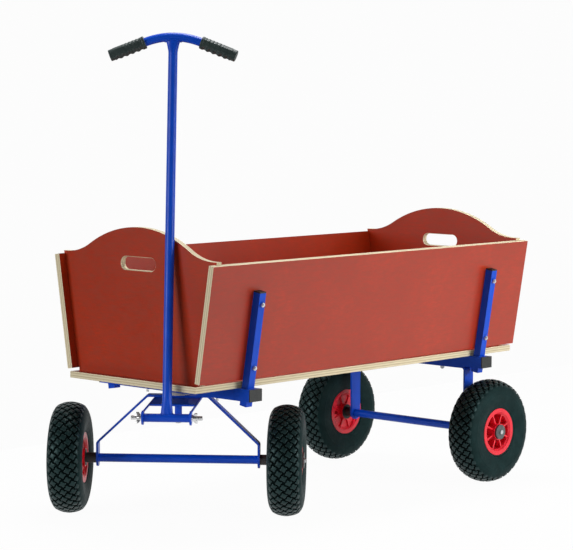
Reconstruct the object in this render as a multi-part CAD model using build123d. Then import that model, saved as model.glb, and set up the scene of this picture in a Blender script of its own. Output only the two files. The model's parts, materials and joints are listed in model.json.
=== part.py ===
from build123d import *
import os
from math import atan, cos, degrees, radians, sin, sqrt, tan

# Sizes are in millimetres and degrees. The ground is z = 0, the cart faces -Y and its left side is +X.

# Wheels
wheel_diameter = 260.0
tyre_width = 82.0
tread_width = 60.0
tread_drop = 8.0
tyre_crown = 9.0
tyre_sidewall = 5.0
tyre_bead = 8.0
tyre_lip = 3.0
rim_diameter = 118.0
rim_width = 68.0
rim_flange = 4.0
rim_flange_height = 9.0
rim_barrel = 6.0
rim_bevel = 5.0
rim_web = 6.0
rim_web_inset = 8.0
rib_count = 8
rib_thickness = 4.0
rib_setback = 4.0
rib_root = 1.0
hub_length = 72.0
hub_wall = 6.5
bearing_wall = 4.5
bearing_length = 25.0
bearing_flange = 1.5
bearing_flange_height = 4.0
tube_wall = 2.0
valve_diameter = 8.0
valve_offset = 15.0
valve_reach = 12.0
valve_angle = -90.0
valve_window = 11.0

# Axles
track = 508.0
axle_inset = 150.0
axle_diameter = 20.0
spacer_wall = 2.2
spacer_length = 24.7
axle_washer_diameter = 37.0
axle_washer = 3.0
axle_screw_diameter = 6.0
axle_screw_length = 20.0
axle_screw_across = 10.0
axle_screw_head = 4.0

# Strip steel of the rear bracket and the front brace
strip = 5.0
bend_radius = 8.0
bracket_width = 34.0
bracket_height = 158.5
brace_width = 30.0
brace_foot = 5.0
brace_knee = 37.5
brace_top_width = 142.0

# Cross beams and posts
beam_beyond = 12.1
beam_width = 40.0
beam_height = 28.0
beam_wall = 2.0
beam_plug = 3.0
post_size = 20.0
post_wall = 2.0
post_length = 265.0
post_stub = 11.0
post_plug = 3.0
plug_depth = 14.0

# Plywood box
ply = 15.0
floor_width = 411.0
floor_overhang = 2.0
side_length = 1152.0
side_height = 270.0
side_lean = 9.36
side_overhang = 10.5
side_gap = 5.0
end_inset = 20.0
end_height = 280.0
end_foot_inset = 7.5
foot_rise = 0.5
groove_depth = 4.0
shoulder_flat = 11.7
dome_rise = 66.0
dome_hollow_radius = 150.0
slot_width = 112.0
slot_height = 30.0
slot_drop = 17.5
slot_round = 2.5

# Bolts of the box
bolt_diameter = 6.0
bolt_head_diameter = 14.0
bolt_head = 3.5
nut_across = 10.0
nut_height = 5.0
bolt_end = 2.5
panel_bolt_low = 32.0
panel_bolt_drop = 26.0
floor_bolt_spread = 229.0
floor_bolt_offset = 12.0

# Steering
steer_rest = 38.9
king_diameter = 12.0
king_head_diameter = 28.0
king_head = 5.0
king_nut_across = 19.0
king_nut = 10.8
king_washer_diameter = 24.0
king_washer = 2.5
thrust_diameter = 50.0
thrust_washer = 7.0
plate_thickness = 4.0
plate_reach = 133.0
steering_tube_wall = 2.4
steering_tube_length = 42.0
arm_diameter = 5.0
ear_thickness = 4.0
ear_width = 32.0

# Pole and handle
hinge_reach = 242.0
hinge_drop = 12.2
hinge_length = 103.0
hinge_diameter = 19.0
hinge_bolt_diameter = 10.0
hinge_bolt_end = 24.0
wing_hub_diameter = 15.0
wing_hub_length = 10.0
wing_span = 31.0
wing_length = 12.0
wing_thickness = 3.0
wing_turn = 25.0
pole_diameter = 21.0
pole_wall = 2.0
pole_length = 857.0
pole_foot_width = 27.0
pole_head_width = 38.0
pole_neck_width = 26.0
pole_end_depth = 15.0
pole_flare_low = 32.0
pole_flare_high = 38.0
pole_neck_drop = 16.0
handle_diameter = 20.0
handle_wall = 2.0
handle_slope = 21.5
handle_radius = 172.0
grip_setback = 0.3
grip_length = 83.0
grip_diameter = 28.0
grip_end = 3.0
grip_ring_height = 1.0
grip_ring_count = 6

# Clearances
running_fit = 0.06
press_fit = 0.03
hole_fit = 0.1
side_play = 0.3
seat_fit = 0.3
groove_fit = 0.4
king_play = 0.2
pole_rest_gap = 1.0
pole_tilt_allowance = 1.01

# Radii and heights that follow from the sizes above
wheel_radius = wheel_diameter / 2
rim_radius = rim_diameter / 2
seat_radius = rim_radius - rim_flange_height
barrel_radius = seat_radius - rim_barrel
axle_radius = axle_diameter / 2
bearing_radius = axle_radius + bearing_wall
hub_radius = bearing_radius + hub_wall
bolt_radius = bolt_diameter / 2
king_radius = king_diameter / 2
hinge_radius = hinge_diameter / 2
hinge_bolt_radius = hinge_bolt_diameter / 2
pole_radius = pole_diameter / 2
handle_tube_radius = handle_diameter / 2
axle_height = wheel_radius
beam_bottom = axle_height + bracket_height
beam_top = beam_bottom + beam_height
floor_top = beam_top + ply
wheel_inner = track / 2 - hub_length / 2 - bearing_flange - side_play
axle_half = track / 2 + hub_length / 2 + bearing_flange + side_play
leg_outer = wheel_inner - spacer_length
leg_inner = leg_outer - strip
axle_y = side_length / 2 - axle_inset

# Frame of the left side panel: its lower outer edge, local X straight out, local Z up the slope
side_x = floor_width / 2 + side_overhang
side_z = floor_top + side_gap
side_place = Location((side_x, 0, side_z), (0, side_lean, 0))

# Frame of the steered front end: on the ground under the kingpin, local -Y straight ahead
steer_place = Location((0, -axle_y, 0), (0, 0, steer_rest))


def ring(outer, inner, start, end):
    """Ring about the X axis between two places on it."""
    section = Circle(outer) - Circle(inner)
    return Pos(start, 0, 0) * Rot(0, 90, 0) * extrude(section, end - start)


def rod(radius, start, end):
    """Round bar on the X axis between two places on it."""
    return Pos(start, 0, 0) * Rot(0, 90, 0) * extrude(Circle(radius), end - start)


def pin(radius, low, high):
    """Round bar on the Z axis between two heights."""
    return Pos(0, 0, low) * extrude(Circle(radius), high - low)


def block(x, y, z):
    """Box between the low and the high value given for each axis."""
    size = Box(x[1] - x[0], y[1] - y[0], z[1] - z[0])
    return Pos((x[0] + x[1]) / 2, (y[0] + y[1]) / 2, (z[0] + z[1]) / 2) * size


def across(shape):
    """The shape and its mirror image on the other side of the cart."""
    return [shape, mirror(shape, Plane.YZ)]


def endwise(shapes):
    """Each shape and its mirror image at the other end of the cart."""
    return [copy for shape in shapes for copy in (shape, mirror(shape, Plane.XZ))]


def slope_x(depth, height):
    """How far out a plane along the leaning side panel lies at a height, by its depth off the outer face."""
    rise = height - side_z + depth * sin(radians(side_lean))
    return side_x + depth * cos(radians(side_lean)) + rise * tan(radians(side_lean))


def cup_bolt(radius, length, head_diameter, head_height):
    """Bolt on the Z axis with a domed head above z = 0 and its shank below."""
    dome = TangentArc((0, head_height), (head_diameter / 2, 0), tangent=(1, 0))
    outline = Polyline((head_diameter / 2, 0), (0, 0), (0, head_height))
    head = revolve(Plane.XZ * make_face(dome.edges() + outline.edges()), Axis.Z)
    return head + pin(radius, -length, 0)


def hex_nut(radius, width, height):
    """Nut on the Z axis, from z = 0 upwards."""
    return extrude(RegularPolygon(width / 2, 6, major_radius=False) - Circle(radius + running_fit), height)


def strap(points, width):
    """Bent flat strip standing across the cart, rounded at both ends and drilled for the axle."""
    line = FilletPolyline(*points, radius=bend_radius)
    shape = extrude(Plane.XZ * trace(line, strip), width / 2, both=True)
    for sign in (-1, 1):
        ends = sorted((sign * leg_inner, sign * leg_outer))
        shape += Pos(0, 0, points[0][1]) * rod(width / 2, *ends)
        shape -= Pos(0, 0, axle_height) * rod(axle_radius + hole_fit, *ends)
    return shape


# Wheel, on the X axis with its outer side towards +X
shoulder_radius = wheel_radius - tread_drop
widest_radius = (wheel_radius + rim_radius) / 2
lip_radius = rim_radius + seat_fit
lip_x = rim_width / 2 - rim_flange + tyre_lip
bead_x = rim_width / 2 - rim_flange - seat_fit
bead_radius = seat_radius + seat_fit
cavity_x = tyre_width / 2 - tyre_sidewall
cavity_radius = wheel_radius - tyre_crown


def wheel_tyre():
    """Hollow tyre, open at the beads that sit on the rim."""
    widest = (tyre_width / 2, widest_radius)
    hollow = (cavity_x, widest_radius)
    shoulder = (tread_width / 2, shoulder_radius)
    bead_toe = (bead_x - tyre_bead, bead_radius)
    foot = Polyline((lip_x, lip_radius), (bead_x, lip_radius), (bead_x, bead_radius), bead_toe)
    half = Curve() + [
        TangentArc(widest, shoulder, tangent=(0, 1)),
        TangentArc(widest, (lip_x, lip_radius), tangent=(0, -1)),
        foot,
        TangentArc(hollow, bead_toe, tangent=(0, -1)),
        TangentArc(hollow, (0, cavity_radius), tangent=(0, 1)),
    ]
    crown = ThreePointArc((-shoulder[0], shoulder_radius), (0, wheel_radius), shoulder)
    return revolve(make_face(crown.edges() + half.edges() + mirror(half, Plane.YZ).edges()), Axis.X)


def valve_pin(radius, high):
    """Radial pin where the valve passes through the rim, up to a given radius from the axle."""
    return Rot(valve_angle, 0, 0) * Pos(-valve_offset, 0, 0) * pin(radius, barrel_radius - valve_reach, high)


def wheel_inner_tube():
    """Inflated tube inside the tyre, with the valve stem that comes out through the rim."""
    width = cavity_x - seat_fit
    height = cavity_radius - seat_fit - widest_radius
    section = Ellipse(width, height) - Ellipse(width - tube_wall, height - tube_wall)
    skin = revolve(Pos(0, widest_radius) * section, Axis.X)
    bow = sqrt(1 - (valve_offset / (width - tube_wall / 2)) ** 2)
    return skin + valve_pin(valve_diameter / 2, widest_radius - (height - tube_wall / 2) * bow)


def rim_edge(side, web):
    """Section points of one side of the rim, from the hub's bore round to the tyre's seat."""
    edge = rim_width / 2
    points = [
        (hub_length / 2, bearing_radius),
        (hub_length / 2, hub_radius),
        (web, hub_radius),
        (web, barrel_radius),
        (edge - rim_bevel, barrel_radius),
        (edge, barrel_radius + rim_bevel),
        (edge, rim_radius),
        (edge - rim_flange, rim_radius),
        (edge - rim_flange, seat_radius),
    ]
    return [(side * x, radius) for x, radius in points]


def wheel_rim():
    """Rim with its hub, radial ribs, and a web near the inner side with a window for the valve."""
    web_low = rim_width / 2 - rim_web_inset
    outer = rim_edge(1, rim_web - web_low)
    inner = rim_edge(-1, web_low)
    rim = revolve(make_face(Polyline(*outer, *reversed(inner), close=True)), Axis.X)
    reach = rim_width / 2 - rib_setback
    span = (hub_radius - rib_root, barrel_radius + rib_root)
    rib = block((-reach, reach), (-rib_thickness / 2, rib_thickness / 2), span)
    for number in range(rib_count):
        rim += Rot(360 * (number + 0.5) / rib_count, 0, 0) * rib
    window = Pos(0, 0, (hub_radius + barrel_radius) / 2) * rod(valve_window / 2, -web_low, rim_web - web_low)
    rim -= Rot(valve_angle, 0, 0) * window
    return rim - valve_pin(valve_diameter / 2 + seat_fit, rim_radius)


def wheel_bearing():
    """Flanged bearing in the outer end of the hub."""
    bore = axle_radius + running_fit
    hub_end = hub_length / 2
    sleeve = ring(bearing_radius - press_fit, bore, hub_end - bearing_length, hub_end)
    flange = ring(bearing_radius + bearing_flange_height, bore, hub_end, hub_end + bearing_flange)
    return sleeve + flange


def axle_rod():
    """Plain rod across the cart with a threaded hole in each end."""
    bar = rod(axle_radius, -axle_half, axle_half)
    bore = rod(axle_screw_diameter / 2 + running_fit, axle_half - axle_screw_length, axle_half)
    for hole in across(bore):
        bar -= hole
    return bar


def axle_spacer():
    return ring(axle_radius + spacer_wall, axle_radius + hole_fit, leg_outer, wheel_inner)


def axle_end_washer():
    bore = axle_screw_diameter / 2 + hole_fit
    return ring(axle_washer_diameter / 2, bore, axle_half, axle_half + axle_washer)


def axle_end_screw():
    face = axle_half + axle_washer
    head = extrude(RegularPolygon(axle_screw_across / 2, 6, major_radius=False), axle_screw_head)
    shank = rod(axle_screw_diameter / 2, face - axle_screw_length, face)
    return Pos(face, 0, 0) * Rot(0, 90, 0) * head + shank


nodes = {}


def add(name, *shapes):
    """Keep the solids of one named piece, or of one group of like pieces."""
    nodes[name] = [solid for shape in shapes for solid in shape.solids()]


# Running gear: the same axle and wheels behind and, turned with the steering, in front
wheel_parts = {"tyre": wheel_tyre(), "inner_tube": wheel_inner_tube(), "rim": wheel_rim()}
left_wheel = Pos(track / 2, 0, axle_height)
right_wheel = Pos(-track / 2, 0, axle_height) * Rot(0, 0, 180)
rear_place = Pos(0, axle_y, 0)

for end, place in (("rear", rear_place), ("front", steer_place)):
    level = place * Pos(0, 0, axle_height)
    add(end + "_axle", level * axle_rod())
    add(end + "_axle_spacers", *[level * shape for shape in across(axle_spacer())])
    add(end + "_axle_washers", *[level * shape for shape in across(axle_end_washer())])
    add(end + "_axle_screws", *[level * shape for shape in across(axle_end_screw())])
    for side, wheel in (("left", left_wheel), ("right", right_wheel)):
        for piece, shape in wheel_parts.items():
            add(f"{end}_{side}_{piece}", place * wheel * shape)
        add(f"{end}_{side}_bearings", *[place * wheel * shape for shape in across(wheel_bearing())])

# Plywood floor on the two beams
floor_x = floor_width / 2
floor_y = side_length / 2 + floor_overhang
floor = block((-floor_x, floor_x), (-floor_y, floor_y), (beam_top, floor_top))
floor_bolt_x = floor_bolt_spread / 2
floor_bolt_y = axle_y - floor_bolt_offset
floor_bolt_places = [(x, y) for x in (-floor_bolt_x, floor_bolt_x) for y in (-floor_bolt_y, floor_bolt_y)]
king_hole = Pos(0, -axle_y, 0) * pin(king_radius + hole_fit, beam_bottom, floor_top)
floor_bolt_holes = [
    Pos(x, y, 0) * pin(bolt_radius + hole_fit, beam_bottom - strip, floor_top) for x, y in floor_bolt_places
]
add("floor_panel", floor - king_hole - floor_bolt_holes)

# Post, plug and bolts of the left side panel, in the frame of that panel
post_low = (beam_bottom - post_stub - side_z) / cos(radians(side_lean))
post_high = post_low + post_length
post_half = post_size / 2
bolt_axis_heights = (panel_bolt_low, post_high - panel_bolt_drop)


def in_post(margin, low, high):
    """Square prism on the post's centre line, with a margin off the post's outer faces."""
    reach = post_half + margin
    return Pos(post_half, 0, 0) * block((-reach, reach), (-reach, reach), (low, high))


def cross_hole(height):
    """Hole straight through the side panel and the post."""
    return Pos(0, 0, height) * rod(bolt_radius + hole_fit, -ply, post_size)


def panel_bolt(height):
    """Bolt with its smooth head inside the box."""
    bolt = cup_bolt(bolt_radius, ply + post_size + nut_height + bolt_end, bolt_head_diameter, bolt_head)
    return Pos(-ply, 0, height) * Rot(0, -90, 0) * bolt


def panel_nut(height):
    return Pos(post_size, 0, height) * Rot(0, 90, 0) * hex_nut(bolt_radius, nut_across, nut_height)


post = in_post(0, post_low, post_high) - in_post(-post_wall, post_low, post_high)
post -= [cross_hole(height) for height in bolt_axis_heights]
post_cap = in_post(0, post_high, post_high + post_plug)
post_cap += in_post(-post_wall - hole_fit, post_high - plug_depth, post_high)
left_post = side_place * Pos(0, axle_y, 0) * post
for name, shape in zip(("left", "right"), across(left_post)):
    add("rear_post_" + name, shape)
    add("front_post_" + name, mirror(shape, Plane.XZ))
add("post_plugs", *endwise(across(side_place * Pos(0, axle_y, 0) * post_cap)))
bolts = [side_place * Pos(0, axle_y, 0) * panel_bolt(height) for height in bolt_axis_heights]
nuts = [side_place * Pos(0, axle_y, 0) * panel_nut(height) for height in bolt_axis_heights]
add("panel_bolts", *[copy for bolt in bolts for copy in endwise(across(bolt))])
add("panel_nuts", *[copy for nut in nuts for copy in endwise(across(nut))])

# Side panels, drilled for the bolts and grooved near each end for the end panels
end_face = side_length / 2 - end_inset
side_panel = block((-ply, 0), (-side_length / 2, side_length / 2), (0, side_height))
for sign in (-1, 1):
    side_panel -= [Pos(0, sign * axle_y, 0) * cross_hole(height) for height in bolt_axis_heights]
    span = sorted((sign * (end_face + groove_fit), sign * (end_face - ply - groove_fit)))
    side_panel -= block((-ply, groove_depth - ply), span, (0, side_height))
left_side, right_side = across(side_place * side_panel)
add("side_panel_left", left_side)
add("side_panel_right", right_side)

# End panels: slanted edges in the grooves, narrower foot on the floor, domed top and a hand slot
edge_depth = groove_depth - ply - groove_fit
shoulder_z = floor_top + end_height
foot_z = side_z + ply * sin(radians(side_lean)) + foot_rise
foot_half = floor_width / 2 - end_foot_inset
dome_half = slope_x(edge_depth, shoulder_z) - shoulder_flat
dome_turn = 2 * atan(dome_rise / dome_half)
dome_radius = dome_half / sin(dome_turn) - dome_hollow_radius
dome_centre_z = shoulder_z + dome_rise - dome_radius


def hollow_point(turn):
    """Point on the hollow curve beside the dome, after a turn from the flat shoulder."""
    x = dome_half - dome_hollow_radius * sin(turn)
    return (x, shoulder_z + dome_hollow_radius * (1 - cos(turn)))


def dome_point(turn):
    """Point on the dome, after a turn from its top."""
    return (dome_radius * sin(turn), dome_centre_z + dome_radius * cos(turn))


def end_panel(face):
    """End panel whose outer face lies at the given place along the cart."""
    half = Curve() + [
        Polyline(
            (foot_half, floor_top),
            (foot_half, foot_z),
            (slope_x(edge_depth, foot_z), foot_z),
            (slope_x(edge_depth, shoulder_z), shoulder_z),
            hollow_point(0),
        ),
        ThreePointArc(hollow_point(0), hollow_point(dome_turn / 2), hollow_point(dome_turn)),
    ]
    base = Line((-foot_half, floor_top), (foot_half, floor_top))
    top = ThreePointArc(dome_point(-dome_turn), dome_point(0), dome_point(dome_turn))
    outline = make_face(base.edges() + half.edges() + top.edges() + mirror(half, Plane.YZ).edges())
    slot = Pos(0, shoulder_z - slot_drop) * SlotOverall(slot_width, slot_height)
    panel = extrude(Plane.XZ * (outline - slot), ply)
    rims = [edge for side in panel.faces().filter_by(Axis.Y) for edge in side.inner_wires()[0].edges()]
    return Pos(0, face, 0) * fillet(rims, slot_round)


add("end_panel_front", end_panel(-end_face + ply))
add("end_panel_rear", end_panel(end_face))

# Cross beams, cut for the posts that pass through them and drilled for the bolts
post_cut = side_place * Pos(0, axle_y, 0) * in_post(hole_fit, post_low, post_high)
beam_half = slope_x(post_size, beam_top) + beam_beyond
beam = block((-beam_half, beam_half), (-beam_width / 2, beam_width / 2), (beam_bottom, beam_top))
core_y = beam_width / 2 - beam_wall
beam -= block((-beam_half, beam_half), (-core_y, core_y), (beam_bottom + beam_wall, beam_top - beam_wall))
rear_beam = Pos(0, axle_y, 0) * beam - across(post_cut) - floor_bolt_holes
front_beam = Pos(0, -axle_y, 0) * beam - endwise(across(post_cut)) - floor_bolt_holes - king_hole
add("rear_beam", rear_beam)
add("front_beam", front_beam)

plug_y = core_y - hole_fit
plug_z = (beam_bottom + beam_wall + hole_fit, beam_top - beam_wall - hole_fit)
plug = block((beam_half, beam_half + beam_plug), (-beam_width / 2, beam_width / 2), (beam_bottom, beam_top))
plug_start = slope_x(post_size, beam_top) + side_play
plug += block((plug_start, beam_half), (-plug_y, plug_y), plug_z)
add("beam_plugs", *endwise(across(Pos(0, axle_y, 0) * plug)))

# Bolts through the floor and the beams; behind, they also hold the axle bracket
floor_bolt_length = ply + beam_height + strip + nut_height + bolt_end
floor_bolt = cup_bolt(bolt_radius, floor_bolt_length, bolt_head_diameter, bolt_head)
floor_nut = hex_nut(bolt_radius, nut_across, nut_height)
add("floor_bolts", *[Pos(x, y, floor_top) * floor_bolt for x, y in floor_bolt_places])
floor_nuts = []
for x, y in floor_bolt_places:
    seat = beam_bottom - strip if y > 0 else beam_bottom
    floor_nuts.append(Pos(x, y, seat - nut_height) * floor_nut)
add("floor_nuts", *floor_nuts)

# Rear axle bracket under the rear beam
leg_middle = leg_inner + strip / 2
bracket_top = beam_bottom - strip / 2
bracket_line = [(leg_middle, axle_height), (leg_middle, bracket_top)]
bracket_line += [(-x, z) for x, z in reversed(bracket_line)]
add("rear_axle_bracket", rear_place * strap(bracket_line, bracket_width) - floor_bolt_holes)

# Steering stack under the front beam, from the thrust washer down to the nut of the king bolt
brace_top = beam_bottom - thrust_washer - king_play
plate_top = brace_top - strip
plate_bottom = plate_top - plate_thickness
tube_bottom = plate_bottom - steering_tube_length
king_washer_bottom = tube_bottom - king_play - king_washer
king_nut_bottom = king_washer_bottom - king_nut
king_end = king_nut_bottom - bolt_end
king_turning = pin(king_radius + running_fit, tube_bottom, brace_top)
king_still = Pos(0, -axle_y, 0)

brace_middle = brace_top - strip / 2
brace_line = [(leg_middle, axle_height - brace_foot), (leg_middle, axle_height + brace_knee)]
brace_line += [(brace_top_width / 2, brace_middle)]
brace_line += [(-x, z) for x, z in reversed(brace_line)]
add("front_brace", steer_place * (strap(brace_line, brace_width) - king_turning))

thrust = pin(thrust_diameter / 2, beam_bottom - thrust_washer, beam_bottom)
add("thrust_washer", king_still * (thrust - pin(king_radius + hole_fit, tube_bottom, beam_bottom)))
king_bolt = cup_bolt(king_radius, floor_top - king_end, king_head_diameter, king_head)
add("king_bolt", king_still * Pos(0, 0, floor_top) * king_bolt)
add("king_nut", king_still * Pos(0, 0, king_nut_bottom) * hex_nut(king_radius, king_nut_across, king_nut))
washer_section = Circle(king_washer_diameter / 2) - Circle(king_radius + hole_fit)
add("king_washer", king_still * Pos(0, 0, king_washer_bottom) * extrude(washer_section, king_washer))

# Steering plate, the short tube under it, and the two arms with the ears that carry the hinge
ear_inner = hinge_length / 2 + side_play
ear_outer = ear_inner + ear_thickness
arm_x = (ear_inner + ear_outer) / 2
arm_radius = arm_diameter / 2
arm_z = plate_top - arm_radius - hole_fit
hinge_z = arm_z - hinge_drop
plate_half = arm_x - arm_radius - press_fit
plate = block((-plate_half, plate_half), (-plate_reach, brace_width / 2), (plate_bottom, plate_top))
add("steering_plate", steer_place * (plate - king_turning))
tube_radius = king_radius + running_fit + steering_tube_wall
add("steering_tube", steer_place * (pin(tube_radius, tube_bottom, plate_bottom) - king_turning))

hinge_place = Pos(0, -hinge_reach, hinge_z)
arm_length = hinge_reach + ear_width / 2 + brace_width / 2
arm = Pos(arm_x, brace_width / 2, arm_z) * Rot(90, 0, 0) * pin(arm_radius, 0, arm_length)
ear = rod(ear_width / 2, ear_inner, ear_outer)
ear += block((ear_inner, ear_outer), (-ear_width / 2, ear_width / 2), (0, hinge_drop))
arm += hinge_place * ear
arm -= hinge_place * rod(hinge_bolt_radius + hole_fit, ear_inner, ear_outer)
add("fork_arms", *[steer_place * shape for shape in across(arm)])

# Hinge bolt with a wing nut at each end
bolt_half = ear_outer + hinge_bolt_end
add("hinge_bolt", steer_place * hinge_place * rod(hinge_bolt_radius, -bolt_half, bolt_half))
wing_low = ear_outer + wing_hub_length - wing_length / 2
wing_blade = (-wing_thickness / 2, wing_thickness / 2)
wing_nut = rod(wing_hub_diameter / 2, ear_outer, ear_outer + wing_hub_length)
wing_nut += block((wing_low, wing_low + wing_length), wing_blade, (-wing_span / 2, wing_span / 2))
wing_nut -= rod(hinge_bolt_radius + running_fit, ear_outer, wing_low + wing_length)
turned = Rot(wing_turn, 0, 0) * wing_nut
add("wing_nuts", *[steer_place * hinge_place * shape for shape in across(turned)])

# The parked pole leans until it all but touches the top edge of the front panel
lean_gap = (pole_radius + pole_rest_gap) * pole_tilt_allowance
rest_ahead = (end_face + lean_gap - axle_y) / cos(radians(steer_rest))
rest_x = rest_ahead * sin(radians(steer_rest))
rest_z = dome_centre_z + sqrt(dome_radius**2 - rest_x**2)
pole_lean = degrees(atan((hinge_reach - rest_ahead) / (rest_z - hinge_z)))
pole_place = steer_place * hinge_place * Rot(-pole_lean, 0, 0)

# Handle: two straight runs joined by a bend, with its top at the pole's length from the hinge
slope = radians(handle_slope)
peak_z = pole_length + handle_radius * (1 / cos(slope) - 1)
tip_x = handle_radius * sin(slope) + (grip_setback + grip_length) * cos(slope)
tip_z = peak_z - tip_x * tan(slope)
handle_line = FilletPolyline((-tip_x, 0, tip_z), (0, 0, peak_z), (tip_x, 0, tip_z), radius=handle_radius)
handle_start = Plane(origin=handle_line @ 0, z_dir=handle_line % 0)
handle_solid = sweep(handle_start * Circle(handle_tube_radius), path=handle_line)
handle_core = sweep(handle_start * Circle(handle_tube_radius - handle_wall), path=handle_line)
add("handle_bar", pole_place * (handle_solid - handle_core))

# Pole: a round tube whose two ends are flattened and shaped to the tubes they meet
foot = Ellipse(pole_foot_width / 2, pole_end_depth / 2)
head = Ellipse(pole_head_width / 2, pole_end_depth / 2)
neck = Ellipse(pole_neck_width / 2, (pole_end_depth + pole_diameter) / 4)
round_low = hinge_radius + pole_flare_low
head_low = pole_length - handle_tube_radius
round_high = head_low - pole_flare_high
sections = [
    foot,
    Pos(0, 0, hinge_radius) * foot,
    Pos(0, 0, round_low) * Circle(pole_radius),
    Pos(0, 0, round_high) * Circle(pole_radius),
    Pos(0, 0, head_low - pole_neck_drop) * neck,
    Pos(0, 0, head_low) * head,
    Pos(0, 0, pole_length) * head,
]
pole = loft(sections, ruled=True)
pole -= pin(pole_radius - pole_wall, round_low, round_high)
pole -= rod(hinge_radius, -hinge_length / 2, hinge_length / 2)
add("pole", pole_place * (pole - handle_solid))
hinge_tube = ring(hinge_radius, hinge_bolt_radius + running_fit, -hinge_length / 2, hinge_length / 2)
add("hinge_tube", pole_place * hinge_tube)


def grip():
    """Ribbed grip over the end of the handle, on the X axis with the end of the tube at x = 0."""
    bore = handle_tube_radius + hole_fit
    outer = grip_diameter / 2
    pitch = grip_length / grip_ring_count
    outline = [(-grip_length, bore)]
    for number in range(grip_ring_count):
        start = number * pitch - grip_length
        outline += [(start, outer), (start + pitch / 4, outer + grip_ring_height)]
        outline += [(start + pitch / 2, outer + grip_ring_height), (start + pitch * 3 / 4, outer)]
    outline += [(grip_end, outer), (grip_end, 0), (hole_fit, 0), (hole_fit, bore)]
    return revolve(make_face(Polyline(*outline, close=True)), Axis.X)


for side, shape in zip(("left", "right"), across(Pos(tip_x, 0, tip_z) * Rot(0, handle_slope, 0) * grip())):
    add("grip_" + side, pole_place * shape)

# The origin goes to the middle of the whole cart's outline, on the ground
box = Compound([solid for solids in nodes.values() for solid in solids]).bounding_box()
shift = Pos(0, -(box.min.Y + box.max.Y) / 2, 0)
os.makedirs("parts", exist_ok=True)
for name, solids in nodes.items():
    placed = [shift * solid for solid in solids]
    export_step(placed[0] if len(placed) == 1 else Compound(placed), f"parts/{name}.step")

# Places and directions that the joints use
print("nodes", len(nodes), "size", box.size)
print("shift", shift.position)
print("king", (shift * king_still).position, "steering range", -2 * steer_rest)
print("hinge", (shift * steer_place * hinge_place).position, "lean", pole_lean)
print("lateral", (cos(radians(steer_rest)), sin(radians(steer_rest))))
for end, place in (("rear", rear_place), ("front", steer_place)):
    for side, wheel in (("left", left_wheel), ("right", right_wheel)):
        print(end, side, (shift * place * wheel).position)
print("floor top", floor_top, "end face", end_face)
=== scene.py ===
import json
import math

import bmesh
import bpy
from mathutils import Matrix, Vector, noise


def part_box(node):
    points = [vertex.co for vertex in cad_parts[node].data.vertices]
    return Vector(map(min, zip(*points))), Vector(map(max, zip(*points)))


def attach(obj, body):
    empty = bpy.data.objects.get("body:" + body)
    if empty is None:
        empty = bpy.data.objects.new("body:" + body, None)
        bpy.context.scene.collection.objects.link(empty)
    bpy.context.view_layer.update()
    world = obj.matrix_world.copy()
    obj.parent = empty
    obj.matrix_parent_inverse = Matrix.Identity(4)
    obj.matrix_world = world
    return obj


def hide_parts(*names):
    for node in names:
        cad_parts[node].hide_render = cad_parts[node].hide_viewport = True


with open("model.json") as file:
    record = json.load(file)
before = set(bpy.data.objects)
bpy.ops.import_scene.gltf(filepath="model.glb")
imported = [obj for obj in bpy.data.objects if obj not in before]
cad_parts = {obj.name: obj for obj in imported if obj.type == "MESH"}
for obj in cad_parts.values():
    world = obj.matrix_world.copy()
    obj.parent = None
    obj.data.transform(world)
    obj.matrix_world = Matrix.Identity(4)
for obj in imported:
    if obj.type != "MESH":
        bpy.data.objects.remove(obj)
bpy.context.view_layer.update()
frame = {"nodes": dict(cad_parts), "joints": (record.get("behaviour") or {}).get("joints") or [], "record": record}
nodes = frame["nodes"]
joints = {joint["name"]: joint for joint in frame["joints"]}

MM = 0.001
ENDS = ("front", "rear")
SIDES = ("left", "right")
SIDE_LEAN = math.radians(9.36)
STEER = math.radians(38.9)
POLE_LEAN = math.radians(8.655744)


# Materials; colours are linear

X_AXIS, Y_AXIS = 0, 1
NOISE_RANGE = (0.3, 0.7)

FILM = (0.41, 0.024, 0.002)
FILM_DARK = (0.40, 0.022, 0.001)
FILM_PALE = (0.49, 0.029, 0.002)
FILM_CLOUD = (0.34, 0.026, 0.004)
FILM_GRAIN = (0.31, 0.034, 0.008)
FILM_VEIL = 0.60
BARE_EXTRA_ROUGHNESS = 0.40
PLY_LAYER = 2.9 * MM
PLY_LONG = (0.74, 0.66, 0.45)
PLY_CROSS = (0.52, 0.42, 0.25)
PLY_STREAK = (0.80, 0.70, 0.50)
FACE_LIMIT = 0.9

PAINT = (0.001, 0.068, 0.58)
PAINT_DARK = (0.001, 0.062, 0.54)
PAINT_PALE = (0.0015, 0.076, 0.63)

ZINC = (0.70, 0.71, 0.72)
ZINC_DARK = (0.50, 0.51, 0.53)
ZINC_PALE = (0.78, 0.78, 0.77)

RUBBER_SHEEN = (0.65, 1.0, 1.0, 1.0)


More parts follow.
